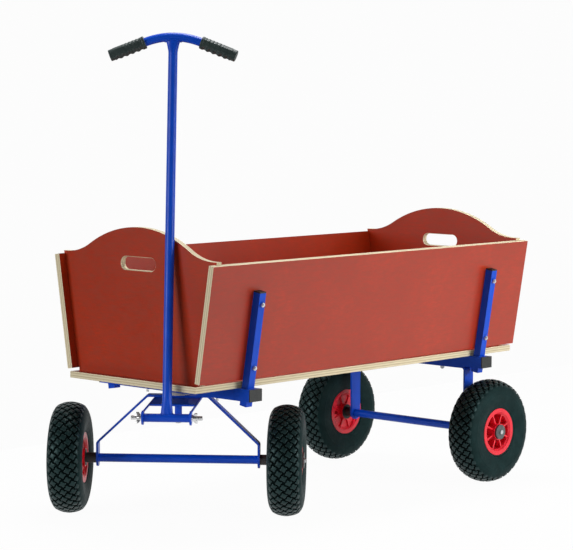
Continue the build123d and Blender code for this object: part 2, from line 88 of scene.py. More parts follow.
class Graph:
    """A material with a Principled shader and short calls that add nodes to it."""

    # Colour sockets of a Mix node, which has others for numbers and vectors
    MIX_FACTOR, MIX_FIRST, MIX_SECOND, MIX_RESULT = 0, 6, 7, 2

    def __init__(self, name, color, roughness, **sockets):
        self.material = bpy.data.materials.new(name)
        self.material.use_nodes = True
        self.tree = self.material.node_tree
        self.shader = self.tree.nodes["Principled BSDF"]
        self.shader.inputs["Base Color"].default_value = (*color, 1)
        self.shader.inputs["Roughness"].default_value = roughness
        for socket, value in sockets.items():
            self.shader.inputs[socket.replace("_", " ")].default_value = value

    def add(self, kind, **settings):
        made = self.tree.nodes.new(kind)
        for key, value in settings.items():
            setattr(made, key, value)
        return made

    def put(self, socket, value):
        """Links a socket to another, or sets its value."""
        if isinstance(value, bpy.types.NodeSocket):
            self.tree.links.new(value, socket)
        else:
            socket.default_value = value

    def coords(self, scale=(1, 1, 1)):
        """Object coordinates in metres, scaled."""
        source = self.add("ShaderNodeTexCoord")
        mapping = self.add("ShaderNodeMapping")
        mapping.inputs["Scale"].default_value = scale
        self.put(mapping.inputs["Vector"], source.outputs["Object"])
        return mapping.outputs["Vector"]

    def normal(self):
        return self.add("ShaderNodeTexCoord").outputs["Normal"]

    def noise(self, vector, scale, detail, rough=0.5):
        made = self.add("ShaderNodeTexNoise")
        self.put(made.inputs["Vector"], vector)
        made.inputs["Scale"].default_value = scale
        made.inputs["Detail"].default_value = detail
        made.inputs["Roughness"].default_value = rough
        return made.outputs["Fac"]

    def math(self, operation, first, second=0.0):
        made = self.add("ShaderNodeMath", operation=operation)
        for socket, value in zip(made.inputs, (first, second)):
            self.put(socket, value)
        return made.outputs[0]

    def dot(self, vector, direction):
        made = self.add("ShaderNodeVectorMath", operation="DOT_PRODUCT")
        self.put(made.inputs[0], vector)
        made.inputs[1].default_value = direction
        return made.outputs["Value"]

    def span(self, value, low, high, to_low=0.0, to_high=1.0):
        """Maps a value from one range to another, clamped."""
        made = self.add("ShaderNodeMapRange")
        for socket, number in zip(made.inputs, (value, low, high, to_low, to_high)):
            self.put(socket, number)
        return made.outputs[0]

    def patches(self, vector, scale, detail, to_low=0.0, to_high=1.0):
        """Noise, with the range in which most of it lies mapped to another."""
        return self.span(self.noise(vector, scale, detail), *NOISE_RANGE, to_low, to_high)

    def mix(self, factor, first, second):
        made = self.add("ShaderNodeMix", data_type="RGBA")
        self.put(made.inputs[self.MIX_FACTOR], factor)
        for index, value in ((self.MIX_FIRST, first), (self.MIX_SECOND, second)):
            self.put(made.inputs[index], (*value, 1) if isinstance(value, tuple) else value)
        return made.outputs[self.MIX_RESULT]

    def color(self, value):
        self.put(self.shader.inputs["Base Color"], value)

    def roughness(self, value):
        self.put(self.shader.inputs["Roughness"], value)

    def bump(self, height, strength, distance):
        made = self.add("ShaderNodeBump")
        made.inputs["Strength"].default_value = strength
        made.inputs["Distance"].default_value = distance
        self.put(made.inputs["Height"], height)
        self.put(self.shader.inputs["Normal"], made.outputs["Normal"])


def film_plywood(name, across, along):
    """Film-faced plywood: smooth red-brown faces, and bare pale edges with the layers showing.

    The direction across goes through the sheet, and the film's grain follows the axis along."""
    graph = Graph(name, FILM, 0.32)
    spot = graph.coords()

    def lengthwise(low, high):
        """Coordinates that draw a noise out along the grain."""
        return graph.coords(tuple(low if axis == along else high for axis in range(3)))

    mottle = graph.patches(spot, scale=9.0, detail=3.0)
    cloud = graph.noise(lengthwise(45.0, 90.0), scale=1.0, detail=4.0, rough=0.65)
    grain = graph.noise(lengthwise(42.0, 230.0), scale=1.0, detail=3.0, rough=0.6)
    film = graph.mix(mottle, FILM_DARK, FILM_PALE)
    film = graph.mix(graph.span(cloud, 0.35, 0.65, 0.0, FILM_VEIL), film, FILM_CLOUD)
    film = graph.mix(graph.span(grain, 0.34, 0.66, 0.0, FILM_VEIL), film, FILM_GRAIN)

    depth = graph.dot(spot, across)
    layers = graph.math("PINGPONG", graph.math("MULTIPLY", depth, 1 / PLY_LAYER), 1.0)
    streak = graph.patches(lengthwise(40.0, 700.0), scale=1.0, detail=3.0, to_high=0.4)
    bare = graph.mix(graph.span(layers, 0.35, 0.65), PLY_LONG, PLY_CROSS)
    bare = graph.mix(streak, bare, PLY_STREAK)

    facing = graph.math("ABSOLUTE", graph.dot(graph.normal(), across))
    face = graph.math("GREATER_THAN", facing, FACE_LIMIT)
    graph.color(graph.mix(face, bare, film))
    film_rough = graph.span(cloud, *NOISE_RANGE, 0.29, 0.35)
    bare_rough = graph.span(face, 0.0, 1.0, BARE_EXTRA_ROUGHNESS, 0.0)
    graph.roughness(graph.math("ADD", film_rough, bare_rough))
    graph.bump(grain, strength=0.12, distance=0.4 * MM)
    return graph.material


def paint_blue():
    """Powder coat with faint clouding and orange peel."""
    graph = Graph("paint_blue", PAINT, 0.36, Specular_IOR_Level=0.25)
    spot = graph.coords()
    graph.color(graph.mix(graph.patches(spot, scale=25.0, detail=3.0), PAINT_DARK, PAINT_PALE))
    graph.roughness(graph.patches(spot, scale=120.0, detail=4.0, to_low=0.32, to_high=0.40))
    graph.bump(graph.noise(spot, scale=700.0, detail=2.0), strength=0.10, distance=0.25 * MM)
    return graph.material


def plain_plastic(name, dark, pale, roughness, grain):
    """Moulded plastic or rubber with a fine grain and faint clouding."""
    graph = Graph(name, pale, sum(roughness) / 2)
    spot = graph.coords()
    graph.color(graph.mix(graph.patches(spot, scale=45.0, detail=4.0), dark, pale))
    graph.roughness(graph.patches(spot, 300.0, 3.0, *roughness))
    graph.bump(graph.noise(spot, scale=grain, detail=2.0), strength=0.15, distance=0.3 * MM)
    return graph.material


def zinc_plate():
    graph = Graph("zinc", ZINC, 0.35, Metallic=1.0)
    spot = graph.coords()
    graph.color(graph.mix(graph.patches(spot, scale=160.0, detail=4.0), ZINC_DARK, ZINC_PALE))
    graph.roughness(graph.patches(spot, scale=420.0, detail=3.0, to_low=0.24, to_high=0.44))
    graph.bump(graph.noise(spot, scale=900.0, detail=2.0), strength=0.12, distance=0.2 * MM)
    return graph.material


def tyre_rubber(name, dark, pale, roughness, specular):
    """Rubber with a bluish green sheen and a little dust."""
    sheen = {"Specular_IOR_Level": specular, "Specular_Tint": RUBBER_SHEEN}
    graph = Graph(name, pale, roughness[1], **sheen)
    spot = graph.coords()
    dust = graph.span(graph.noise(spot, scale=38.0, detail=5.0), 0.35, 0.7)
    graph.color(graph.mix(dust, dark, pale))
    graph.roughness(graph.patches(spot, 150.0, 4.0, *roughness))
    graph.bump(graph.noise(spot, scale=800.0, detail=3.0), strength=0.2, distance=0.3 * MM)
    return graph.material


paint = paint_blue()
zinc = zinc_plate()
rubber = tyre_rubber(
    "tyre_rubber", (0.004, 0.015, 0.015), (0.007, 0.023, 0.023), (0.50, 0.66), specular=0.12)
# Grooves and block walls: the rubber painted darker, as painted shade in the recesses
groove_shade_rubber = tyre_rubber(
    "tyre_grooves_painted_shade", (0.0015, 0.004, 0.004), (0.003, 0.008, 0.008), (0.6, 0.8), specular=0.05)
# Block tops: the rubber painted a little lighter, as painted light on the lit tops and a little wear, and less
# rough for glints
worn_and_lit_rubber = tyre_rubber(
    "tyre_tread_worn_lit", (0.005, 0.015, 0.015), (0.010, 0.025, 0.025), (0.32, 0.46), specular=0.30)
red = plain_plastic(
    "red_plastic", (0.74, 0.009, 0.024), (0.87, 0.013, 0.036), (0.28, 0.42), grain=500.0)
black = plain_plastic(
    "black_plastic", (0.010, 0.012, 0.012), (0.020, 0.023, 0.022), (0.45, 0.65), grain=600.0)
grey = plain_plastic(
    "grey_plastic", (0.06, 0.066, 0.066), (0.10, 0.11, 0.11), (0.4, 0.6), grain=600.0)
nylon = plain_plastic(
    "nylon", (0.55, 0.53, 0.48), (0.66, 0.64, 0.58), (0.4, 0.55), grain=600.0)
tube = plain_plastic(
    "tube_rubber", (0.008, 0.009, 0.009), (0.018, 0.02, 0.02), (0.5, 0.7), grain=500.0)
grip = plain_plastic(
    "grip_rubber", (0.013, 0.028, 0.026), (0.025, 0.044, 0.041), (0.42, 0.6), grain=900.0)

lean_left = (math.cos(SIDE_LEAN), 0.0, -math.sin(SIDE_LEAN))
lean_right = (-lean_left[0], 0.0, lean_left[2])
node_materials = {
    "floor_panel": film_plywood("ply_floor", (0, 0, 1), Y_AXIS),
    "side_panel_left": film_plywood("ply_left", lean_left, Y_AXIS),
    "side_panel_right": film_plywood("ply_right", lean_right, Y_AXIS),
    "end_panel_front": film_plywood("ply_front", (0, 1, 0), X_AXIS),
    "end_panel_rear": film_plywood("ply_rear", (0, 1, 0), X_AXIS),
}
slot_materials = {
    "blue_paint": paint,
    "zinc": zinc,
    "tyre_rubber": rubber,
    "red_plastic": red,
    "black_plastic": black,
    "grey_plastic": grey,
    "nylon": nylon,
    "tube_rubber": tube,
    "grip_rubber": grip,
}
for part in frame["record"]["subparts"]:
    target = nodes[part["node"]]
    material = node_materials.get(part["node"]) or slot_materials[part["material_slot"]]
    target.data.materials.clear()
    target.data.materials.append(material)


# Mesh helpers; all sizes are in millimetres until the mesh is placed

MERGE_DISTANCE = 0.001
WELD_SIDES = 10
WELD_TILT = Vector((0.13, 0.21, 1.0))
RIPPLE = 0.10
RIPPLE_TURN = 1.9
LUMPS = 0.25
LUMP_SCALE = 0.35


def mesh_from(made, name):
    """Turns a working mesh in millimetres into smooth mesh data in metres."""
    bmesh.ops.remove_doubles(made, verts=made.verts, dist=MERGE_DISTANCE)
    bmesh.ops.recalc_face_normals(made, faces=made.faces)
    bmesh.ops.scale(made, vec=(MM, MM, MM), verts=made.verts)
    data = bpy.data.meshes.new(name)
    made.to_mesh(data)
    made.free()
    for polygon in data.polygons:
        polygon.use_smooth = True
    return data


def place(name, data, materials, matrix, body, slot, *stands_for):
    """Adds a piece, lets it ride on a body and hides the nodes it stands for."""
    placed = data.copy()
    placed.transform(matrix)
    for material in materials:
        placed.materials.append(material)
    piece = bpy.data.objects.new(name, placed)
    bpy.context.scene.collection.objects.link(piece)
    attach(piece, body)
    if stands_for:
        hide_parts(*stands_for)


def turns_of(count):
    """Angles evenly round a circle."""
    return [2 * math.pi * step / count for step in range(count)]


def ease(value):
    """Smooth step from 0 to 1."""
    value = min(max(value, 0.0), 1.0)
    return value * value * (3 - 2 * value)


def skin(made, rows, closed=True):
    """Joins rings of points with quads, and the last ring with the first if closed."""
    grid = [[made.verts.new(point) for point in row] for row in rows]
    count = len(grid[0])
    following = grid[1:] + grid[:1] if closed else grid[1:]
    for low, high in zip(grid, following):
        for index in range(count):
            ahead = (index + 1) % count
            made.faces.new((low[index], low[ahead], high[ahead], high[index]))
    return grid


def ring_about_x(x, radius, turn):
    """Point on a circle about the X axis; the turn is 0 on top."""
    return x, radius * math.sin(turn), radius * math.cos(turn)


def lathe(made, profile, segments):
    """Turns a closed line of (x, radius) points about the X axis."""
    skin(made, [[ring_about_x(*point, turn) for point in profile] for turn in turns_of(segments)])


def bead(made, path, radius, seed):
    """Weld bead: a closed tube along a path, with the ripples that the torch leaves."""
    count = len(path)
    rows = []
    for index, point in enumerate(path):
        ahead = Vector(path[(index + 1) % count]) - Vector(path[index - 1])
        side = ahead.cross(WELD_TILT).normalized()
        rise = side.cross(ahead).normalized()
        lumps = LUMPS * noise.noise(Vector(point) * LUMP_SCALE + Vector((seed, 0, 0)))
        swell = radius * (1 + RIPPLE * math.sin(index * RIPPLE_TURN) + lumps)
        row = []
        for turn in turns_of(WELD_SIDES):
            row.append(Vector(point) + (side * math.cos(turn) + rise * math.sin(turn)) * swell)
        rows.append(row)
    skin(made, rows)


def wheel_matrix(end, side):
    """Where a wheel is: its axis along local X, with the outer side towards +X."""
    turn = STEER if end == "front" else 0.0
    if side == "right":
        turn += math.pi
    hub = Matrix.Translation(joints[f"{end}_{side}_wheel_spin"]["pos_m"])
    return hub @ Matrix.Rotation(turn, 4, "Z")


hinge_place = Matrix.Translation(joints["pole_swing"]["pos_m"])
hinge_matrix = hinge_place @ Matrix.Rotation(STEER, 4, "Z")
pole_matrix = hinge_matrix @ Matrix.Rotation(-POLE_LEAN, 4, "X")


# Tyres: carcass of revolution with a sunken tread, and staggered diamond blocks on it

TYRE_RADIUS = 130.0
TREAD_HALF = 30.0
SHOULDER_RADIUS = 122.0
# (axial, radial) points: the widest place, the lip on the rim, the bead in it, and the inside
WIDEST = (41.0, 94.5)
LIP = (33.0, 59.3)
BEAD = ((29.7, 59.3), (29.7, 50.3), (21.7, 50.3))
CAVITY = ((33.5, 75.0), (36.0, 94.5), (29.0, 111.0), (0.0, 121.0))
ARC_STEPS = 28
SECTION_STEPS = 96
SEGMENTS = 144

TREAD_DEPTH = 3.6
TREAD_RUN_OUT = 12.0
BLOCK_ACROSS = 24.0
BLOCKS_ROUND = 36
BLOCK_COLUMNS = 3
GROOVE = 3.6
# Each edge of a block: how far along it a point lies, and which way it steps
BLOCK_EDGE = ((0.13, 1), (0.45, 1), (0.55, -1), (0.87, -1))
BLOCK_STEP = 0.11
# A block from its foot to the middle of its top: share of the outline, and height
BLOCK_LAYERS = (
    (1.05, -TREAD_DEPTH - 0.5), (0.98, -1.1), (0.90, -0.35), (0.72, -0.08), (0.0, 0.0))
TREAD_EDGE = (BLOCK_COLUMNS + 0.5) * BLOCK_ACROSS / 2

# Raised rings of the side wall: distance, height and width
LIP_RING_UP, LIP_RING_HEIGHT, LIP_RING_WIDTH = 6.0, 0.7, 1.3
WALL_RING_DOWN, WALL_RING_HEIGHT, WALL_RING_WIDTH = 18.0, 0.4, 1.1

# Materials of a tyre, in the order of their indices: the side wall; the grooves and block walls, painted darker as
# painted shade in the recesses; and the block tops, painted a little lighter as painted light and wear
tyre_materials = (rubber, groove_shade_rubber, worn_and_lit_rubber)
WALL_INDEX, SHADED_GROOVE_INDEX, LIT_TREAD_INDEX = range(3)


def arc(start, end, centre):
    """Points on a circle from start up to, but without, end."""
    first = math.atan2(start[1] - centre[1], start[0] - centre[0])
    last = math.atan2(end[1] - centre[1], end[0] - centre[0])
    radius = math.dist(start, centre)
    points = []
    for step in range(ARC_STEPS):
        turn = first + (last - first) * step / ARC_STEPS
        points.append((centre[0] + radius * math.cos(turn), centre[1] + radius * math.sin(turn)))
    return points


def wall_arc(end):
    """Arc from the widest point, where it runs straight up or down, to another point."""
    dx = end[0] - WIDEST[0]
    dy = end[1] - WIDEST[1]
    bow = -(dx * dx + dy * dy) / (2 * dx)
    return arc(WIDEST, end, (WIDEST[0] - bow, WIDEST[1]))


def outer_profile():
    """Half of the tyre's outer line, from mid crown to rim, as (axial, radial) points."""
    shoulder = (TREAD_HALF, SHOULDER_RADIUS)
    rise = TYRE_RADIUS - SHOULDER_RADIUS
    crown_radius = (TREAD_HALF**2 + rise**2) / (2 * rise)
    crown = arc((0.0, TYRE_RADIUS), shoulder, (0.0, TYRE_RADIUS - crown_radius))
    return crown + [shoulder] + wall_arc(shoulder)[:0:-1] + wall_arc(LIP) + [LIP]


PROFILE = outer_profile()
LENGTHS = [0.0]
for before, after in zip(PROFILE, PROFILE[1:]):
    LENGTHS.append(LENGTHS[-1] + math.dist(before, after))
HALF_LENGTH = LENGTHS[-1]


def on_tyre(across, height):
    """Axial and radial place at a distance from mid crown, at a height off the outer line."""
    reach = min(abs(across), HALF_LENGTH)
    index = next(i for i in range(1, len(LENGTHS)) if LENGTHS[i] >= reach - 1e-9)
    share = (reach - LENGTHS[index - 1]) / (LENGTHS[index] - LENGTHS[index - 1])
    (x0, r0), (x1, r1) = PROFILE[index - 1], PROFILE[index]
    length = math.hypot(x1 - x0, r1 - r0)
    x = x0 + (x1 - x0) * share + height * (r0 - r1) / length
    radius = r0 + (r1 - r0) * share + height * (x1 - x0) / length
    return math.copysign(x, across), radius


def ridge(offset, height, width):
    """Height of a rounded ring at an offset from its middle."""
    return height * math.exp(-((offset / width) ** 2))


def carcass_section():
    """Closed line round the tyre's section, under the blocks."""
    section = []
    for step in range(SECTION_STEPS + 1):
        reach = HALF_LENGTH * step / SECTION_STEPS
        sunk = TREAD_DEPTH * (1 - ease((reach - TREAD_EDGE + TREAD_RUN_OUT) / TREAD_RUN_OUT))
        rings = ridge(reach - HALF_LENGTH + LIP_RING_UP, LIP_RING_HEIGHT, LIP_RING_WIDTH)
        rings += ridge(reach - TREAD_EDGE - WALL_RING_DOWN, WALL_RING_HEIGHT, WALL_RING_WIDTH)
        section.append(on_tyre(reach, rings - sunk))
    section += [*BEAD, *CAVITY]
    return section + [(-x, radius) for x, radius in section[-2:0:-1]]


def stepped_diamond():
    """A block's outline in half sizes: a diamond with cut corners and a step in each edge."""
    corners = [Vector(corner) for corner in ((1, 0), (0, 1), (-1, 0), (0, -1))]
    outline = []
    for start, end in zip(corners, corners[1:] + corners[:1]):
        out = (start + end).normalized()
        for share, step in BLOCK_EDGE:
            outline.append(start.lerp(end, share) + out * step * BLOCK_STEP)
    return outline


DIAMOND = stepped_diamond()


def add_block(made, across, turn, half_turn):
    """One pillow-topped block: walls up from the carcass, a rounded shoulder and a domed top."""
    half_across = BLOCK_ACROSS / 2
    half_round = half_turn * TYRE_RADIUS
    shrink = 1 - GROOVE / 2 * math.hypot(half_across, half_round) / (half_across * half_round)
    rings = []
    for scale, height in BLOCK_LAYERS:
        ring = []
        for u, v in DIAMOND if scale else [(0.0, 0.0)]:
            x, radius = on_tyre(across + u * half_across * shrink * scale, height)
            angle = turn + v * half_turn * shrink * scale
            ring.append(made.verts.new(ring_about_x(x, radius, angle)))
        rings.append(ring)
    for low, high in zip(rings, rings[1:]):
        for index, vertex in enumerate(low):
            ahead = (index + 1) % len(low)
            top = (high[0],) if len(high) == 1 else (high[ahead], high[index])
            face = made.faces.new((vertex, low[ahead], *top))
            # A block's foot walls get the darker rubber with painted shade; its shoulder and top get the lighter
            # tread rubber with painted light
            face.material_index = SHADED_GROOVE_INDEX if low is rings[0] else LIT_TREAD_INDEX


def tyre_data():
    made = bmesh.new()
    section = carcass_section()
    lathe(made, section, SEGMENTS)
    tread_steps = SECTION_STEPS * (BLOCK_COLUMNS * BLOCK_ACROSS / 2) / HALF_LENGTH
    for number, face in enumerate(made.faces):
        step = number % len(section)
        on_tread = min(step, len(section) - 1 - step) < tread_steps
        # The sunken tread between the blocks gets the darker rubber with painted shade
        face.material_index = SHADED_GROOVE_INDEX if on_tread else WALL_INDEX
    pitch = 2 * math.pi / BLOCKS_ROUND
    for column in range(-BLOCK_COLUMNS, BLOCK_COLUMNS + 1):
        for number in range(BLOCKS_ROUND):
            turn = pitch * (number + (0.5 if column % 2 else 0.0))
            add_block(made, column * BLOCK_ACROSS / 2, turn, pitch / 2)
    return mesh_from(made, "treaded_tyre")


treaded = tyre_data()
for end in ENDS:
    for side in SIDES:
        wheel = f"{end}_{side}"
        place(
            f"treaded_tyre_{wheel}", treaded, tyre_materials, wheel_matrix(end, side),
            f"{wheel}_wheel", "tyre_rubber", f"{wheel}_tyre")


# Pole: a round tube with both ends pressed flat and flared where they are welded on

POLE_RADIUS = 10.5
POLE_LENGTH = 857.0
POLE_SIDES = 72
HINGE_RADIUS = 9.5
HANDLE_RADIUS = 10.0
HANDLE_BEND = 172.0
HANDLE_SLOPE = math.radians(21.5)
HANDLE_SEAT = POLE_LENGTH - HANDLE_RADIUS

FOOT_HALF = 13.5
FOOT_RUN = 36.0
HEAD_HALF = 14.0
HEAD_FLAT = 3.0
HEAD_RUN = 24.0
HEAD_FILLET = 4.5
HEAD_FILLET_RUN = 2.2
END_HALF = 7.5
END_INSIDE = 1.0

# Rings of the pole where its ends change; between them it is straight
LEVEL_STEP = 2.0
FOOT_LEVELS, FOOT_START = 20, 11.0
HEAD_LEVELS, HEAD_START = 26, HANDLE_SEAT - 52.0

POLE_WELD_POINTS = 120
POLE_WELD_RADIUS = 1.5
FOOT_WELD_SEED, HEAD_WELD_SEED = 3.0, 7.0


def pole_point(up, turn):
    """Point on the pole's outline at a distance up from the hinge."""
    foot = 1 - ease((up - HINGE_RADIUS) / FOOT_RUN)
    below_handle = HANDLE_SEAT - up
    head = 1 - ease((below_handle - HEAD_FLAT) / HEAD_RUN)
    width = POLE_RADIUS + (FOOT_HALF - POLE_RADIUS) * foot + (HEAD_HALF - POLE_RADIUS) * head
    width += HEAD_FILLET * math.exp(-max(below_handle, 0.0) / HEAD_FILLET_RUN)
    depth = POLE_RADIUS - (POLE_RADIUS - END_HALF) * max(foot, head)
    return width * math.cos(turn), depth * math.sin(turn)


def foot_end(count, inside):
    """Outline of the pole's foot, at a depth inside the hinge tube's surface."""
    points = []
    for turn in turns_of(count):
        x, y = pole_point(HINGE_RADIUS, turn)
        points.append((x, y, math.sqrt((HINGE_RADIUS - inside) ** 2 - y * y)))
    return points


def head_end(count, inside):
    """Outline of the pole's head, at a depth inside the bent handle tube's surface."""
    points = []
    for turn in turns_of(count):
        x, y = pole_point(HANDLE_SEAT, turn)
        tube_middle = POLE_LENGTH - x * x / (2 * HANDLE_BEND)
        points.append((x, y, tube_middle - math.sqrt((HANDLE_RADIUS - inside) ** 2 - y * y)))
    return points


def pole_data():
    made = bmesh.new()
    levels = [FOOT_START + LEVEL_STEP * step for step in range(FOOT_LEVELS)]
    levels += [HEAD_START + LEVEL_STEP * step for step in range(HEAD_LEVELS)]
    rows = [foot_end(POLE_SIDES, END_INSIDE)]
    for level in levels:
        rows.append([(*pole_point(level, turn), level) for turn in turns_of(POLE_SIDES)])
    rows.append(head_end(POLE_SIDES, END_INSIDE))
    skin(made, rows, closed=False)
    return mesh_from(made, "flared_pole")


def pole_weld_data():
    made = bmesh.new()
    bead(made, foot_end(POLE_WELD_POINTS, 0.0), POLE_WELD_RADIUS, FOOT_WELD_SEED)
    bead(made, head_end(POLE_WELD_POINTS, 0.0), POLE_WELD_RADIUS, HEAD_WELD_SEED)
    return mesh_from(made, "pole_welds")


place("flared_pole", pole_data(), (paint,), pole_matrix, "pole", "blue_paint", "pole")
place("pole_welds", pole_weld_data(), (paint,), pole_matrix, "pole", "blue_paint")


# Grips: rounded six-sided rubber sleeves with a collar, finger waves underneath and ribs on the
# inner half of the top

GRIP_LENGTH = 83.0
GRIP_END = 3.0
GRIP_TOTAL = GRIP_LENGTH + GRIP_END
GRIP_BORE = 10.1
GRIP_HALF = 13.5
GRIP_GAP = 0.3
GRIP_SIDES = 64
GRIP_STATIONS = 200
# Stations of the rounded edge, and where the even ones begin
EDGE_STATIONS = (0.0, 0.15, 0.4, 0.8, 1.3)
EDGE_LIMIT = 1.6
EDGE_ROUND = 2.0

FACET, FACETS = 0.55, 6
WAVE, WAVE_HEIGHT, WAVE_START = 14.0, 1.1, 6.0
RIB, RIB_HEIGHT = 8.6, 0.45
RIBS_END, RIBS_RUN = 46.0, 8.0
# Where the waves and the ribs set in round the grip, as cosines of the turn
UNDER_FROM, UNDER_RUN = -0.15, 0.7
ABOVE_FROM, ABOVE_RUN = -0.05, 0.55
COLLAR, COLLAR_RUN, COLLAR_HEIGHT = 4.5, 3.0, 1.1
PLAIN, PLAIN_RUN, PLAIN_DROP = 13.0, 4.0, 0.3


def grip_radius(along, turn):
    """Radius at a distance from the inner end; the turn is 0 on top."""
    under = ease((UNDER_FROM - math.cos(turn)) / UNDER_RUN)
    above = ease((math.cos(turn) - ABOVE_FROM) / ABOVE_RUN)
    above *= 1 - ease((along - RIBS_END) / RIBS_RUN)
    collar = 1 - ease((along - COLLAR) / COLLAR_RUN)
    plain = ease((along - GRIP_TOTAL + PLAIN) / PLAIN_RUN)
    facets = FACET * math.cos(FACETS * turn)
    waves = WAVE_HEIGHT * under * math.cos(2 * math.pi * (along - WAVE_START) / WAVE)
    ribs = RIB_HEIGHT * above * math.cos(2 * math.pi * along / RIB)
    relief = (1 - collar) * (1 - plain) * (waves + ribs + facets)
    short = EDGE_ROUND - min(along, GRIP_TOTAL - along, EDGE_ROUND)
    round_off = EDGE_ROUND - math.sqrt(max(EDGE_ROUND**2 - short**2, 0.0))
    return GRIP_HALF + COLLAR_HEIGHT * collar + relief - PLAIN_DROP * plain - round_off


def grip_data():
    made = bmesh.new()
    even = [GRIP_TOTAL * step / GRIP_STATIONS for step in range(GRIP_STATIONS + 1)]
    stations = [*EDGE_STATIONS]
    stations += [along for along in even if EDGE_LIMIT < along < GRIP_TOTAL - EDGE_LIMIT]
    stations += [GRIP_TOTAL - along for along in reversed(EDGE_STATIONS)]
    turns = turns_of(GRIP_SIDES)
    rows = [[ring_about_x(-GRIP_LENGTH, GRIP_BORE, turn) for turn in turns]]
    for along in stations:
        x = along - GRIP_LENGTH
        rows.append([ring_about_x(x, grip_radius(along, turn), turn) for turn in turns])
    grid = skin(made, rows, closed=False)
    made.faces.new(grid[-1])
    return mesh_from(made, "finger_grip")


finger_grip = grip_data()
straight = GRIP_GAP + GRIP_LENGTH
tip_x = HANDLE_BEND * math.sin(HANDLE_SLOPE) + straight * math.cos(HANDLE_SLOPE)
bend_top = POLE_LENGTH + HANDLE_BEND * (1 / math.cos(HANDLE_SLOPE) - 1)
tip_z = bend_top - tip_x * math.tan(HANDLE_SLOPE)
for side, sign in (("left", 1), ("right", -1)):
    spot = pole_matrix @ Matrix.Translation(Vector((sign * tip_x, 0, tip_z)) * MM)
    if sign < 0:
        spot = spot @ Matrix.Rotation(math.pi, 4, "Z")
    spot = spot @ Matrix.Rotation(HANDLE_SLOPE, 4, "Y")
    place(
        f"finger_grip_{side}", finger_grip, (grip,), spot, "pole", "grip_rubber", f"grip_{side}")


# Wing nuts of the hinge bolt

EAR_OUTER = 55.8
WING_TURN = math.radians(25.0)
HUB = ((0.0, 5.2), (0.0, 7.5), (1.5, 7.5), (9.0, 6.2), (10.0, 5.8), (10.0, 5.2))
HUB_SEGMENTS = 40
WING = (
    (2.5, 4.5), (4.0, 7.8), (6.0, 11.2), (8.6, 13.2), (11.8, 13.6),
    (13.6, 11.8), (13.2, 9.4), (11.4, 7.2), (9.2, 4.5))
WING_MIDDLE = (8.6, 10.0)
# A wing through its thickness: place, and share of the outline
WING_LAYERS = ((-1.5, 0.90), (-1.0, 1.0), (1.0, 1.0), (1.5, 0.90))
SHARP_ANGLE = math.radians(50)


def wing_nut_data():
    made = bmesh.new()
    lathe(made, HUB, HUB_SEGMENTS)
    middle_x, middle_z = WING_MIDDLE
    for sign in (-1, 1):
        rows = []
        for y, pull in WING_LAYERS:
            row = []
            for x, z in WING:
                pulled_z = middle_z + (z - middle_z) * pull
                row.append((middle_x + (x - middle_x) * pull, y, sign * pulled_z))
            rows.append(row)
        grid = skin(made, rows, closed=False)
        made.faces.new(grid[0])
        made.faces.new(grid[-1])
    data = mesh_from(made, "wing_nut")
    data.set_sharp_from_angle(angle=SHARP_ANGLE)
    return data


def wing_nuts_data(single):
    """Both nuts in one mesh, one at each end of the hinge."""
    made = bmesh.new()
    for turn in (0.0, math.pi):
        spot = Matrix.Rotation(turn, 4, "Z") @ Matrix.Translation((EAR_OUTER * MM, 0, 0))
        copy = single.copy()
        copy.transform(spot @ Matrix.Rotation(WING_TURN, 4, "X"))
        made.from_mesh(copy)
        bpy.data.meshes.remove(copy)
    data = bpy.data.meshes.new("wing_nuts_pair")
    made.to_mesh(data)
    made.free()
    return data


wing_nuts = wing_nuts_data(wing_nut_data())
place("wing_nut_pair", wing_nuts, (zinc,), hinge_matrix, "steering", "zinc", "wing_nuts")


# Welds round the four posts where they pass through the beams

BEAM_TOP = 316.5
BEAM_BOTTOM = 288.5
POST = 20.0
SIDE_X = 216.0
SIDE_Z = 336.5
POST_WELD_RADIUS = 1.4
POST_WELD_STEP = 1.5
POST_WELD_SEED = 11.0


def post_x(depth, height):
    """How far out the post is at a height, at a depth off the side panel's outer face."""
    rise = height - SIDE_Z + depth * math.sin(SIDE_LEAN)
    return SIDE_X + depth * math.cos(SIDE_LEAN) + rise * math.tan(SIDE_LEAN)


def square_path(low, high, half, level):
    """Points round a rectangle at a level."""
    corners = [Vector(c) for c in ((low, -half), (high, -half), (high, half), (low, half))]
    path = []
    for start, end in zip(corners, corners[1:] + corners[:1]):
        count = int((end - start).length / POST_WELD_STEP)
        path += [(*start.lerp(end, index / count), level) for index in range(count)]
    return path


def post_weld_data():
    made = bmesh.new()
    for number, level in enumerate((BEAM_TOP, BEAM_BOTTOM)):
        path = square_path(post_x(0.0, level), post_x(POST, level), POST / 2, level)
        bead(made, path, POST_WELD_RADIUS, POST_WELD_SEED * number)
    return mesh_from(made, "post_welds")


post_weld = post_weld_data()
for end in ENDS:
    box_low, box_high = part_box(f"{end}_beam")
    for side in SIDES:
        spot = Matrix.Translation((0, (box_low.y + box_high.y) / 2, 0))
        if side == "right":
            spot = spot @ Matrix.Rotation(math.pi, 4, "Z")
        place(f"post_welds_{end}_{side}", post_weld, (paint,), spot, "chassis", "blue_paint")


# Stage: a white floor that reaches back from the cart, and a white room

FLOOR_NEAR_X, FLOOR_NEAR_Y, FLOOR_FAR = -1.0, -1.1, 7.0
FLOOR_DROP = 0.0005
FLOOR_GREY = (0.7, 0.7, 0.7, 1)
FLOOR_GLOW = 0.965
BACKGROUND = (0.975, 0.975, 0.975, 1)
# Light from the room, and what mirrors in the part: a direction, the range of how far it is
# faced, and the levels at both ends of that range
ROOM_LIGHT = ((0.40, 0.80, 0.45), (-0.3, 0.7, 0.06, 0.45))
ROOM_MIRRORED = ((-0.67, 0.74, 0.10), (0.25, 0.85, 0.06, 1.0))


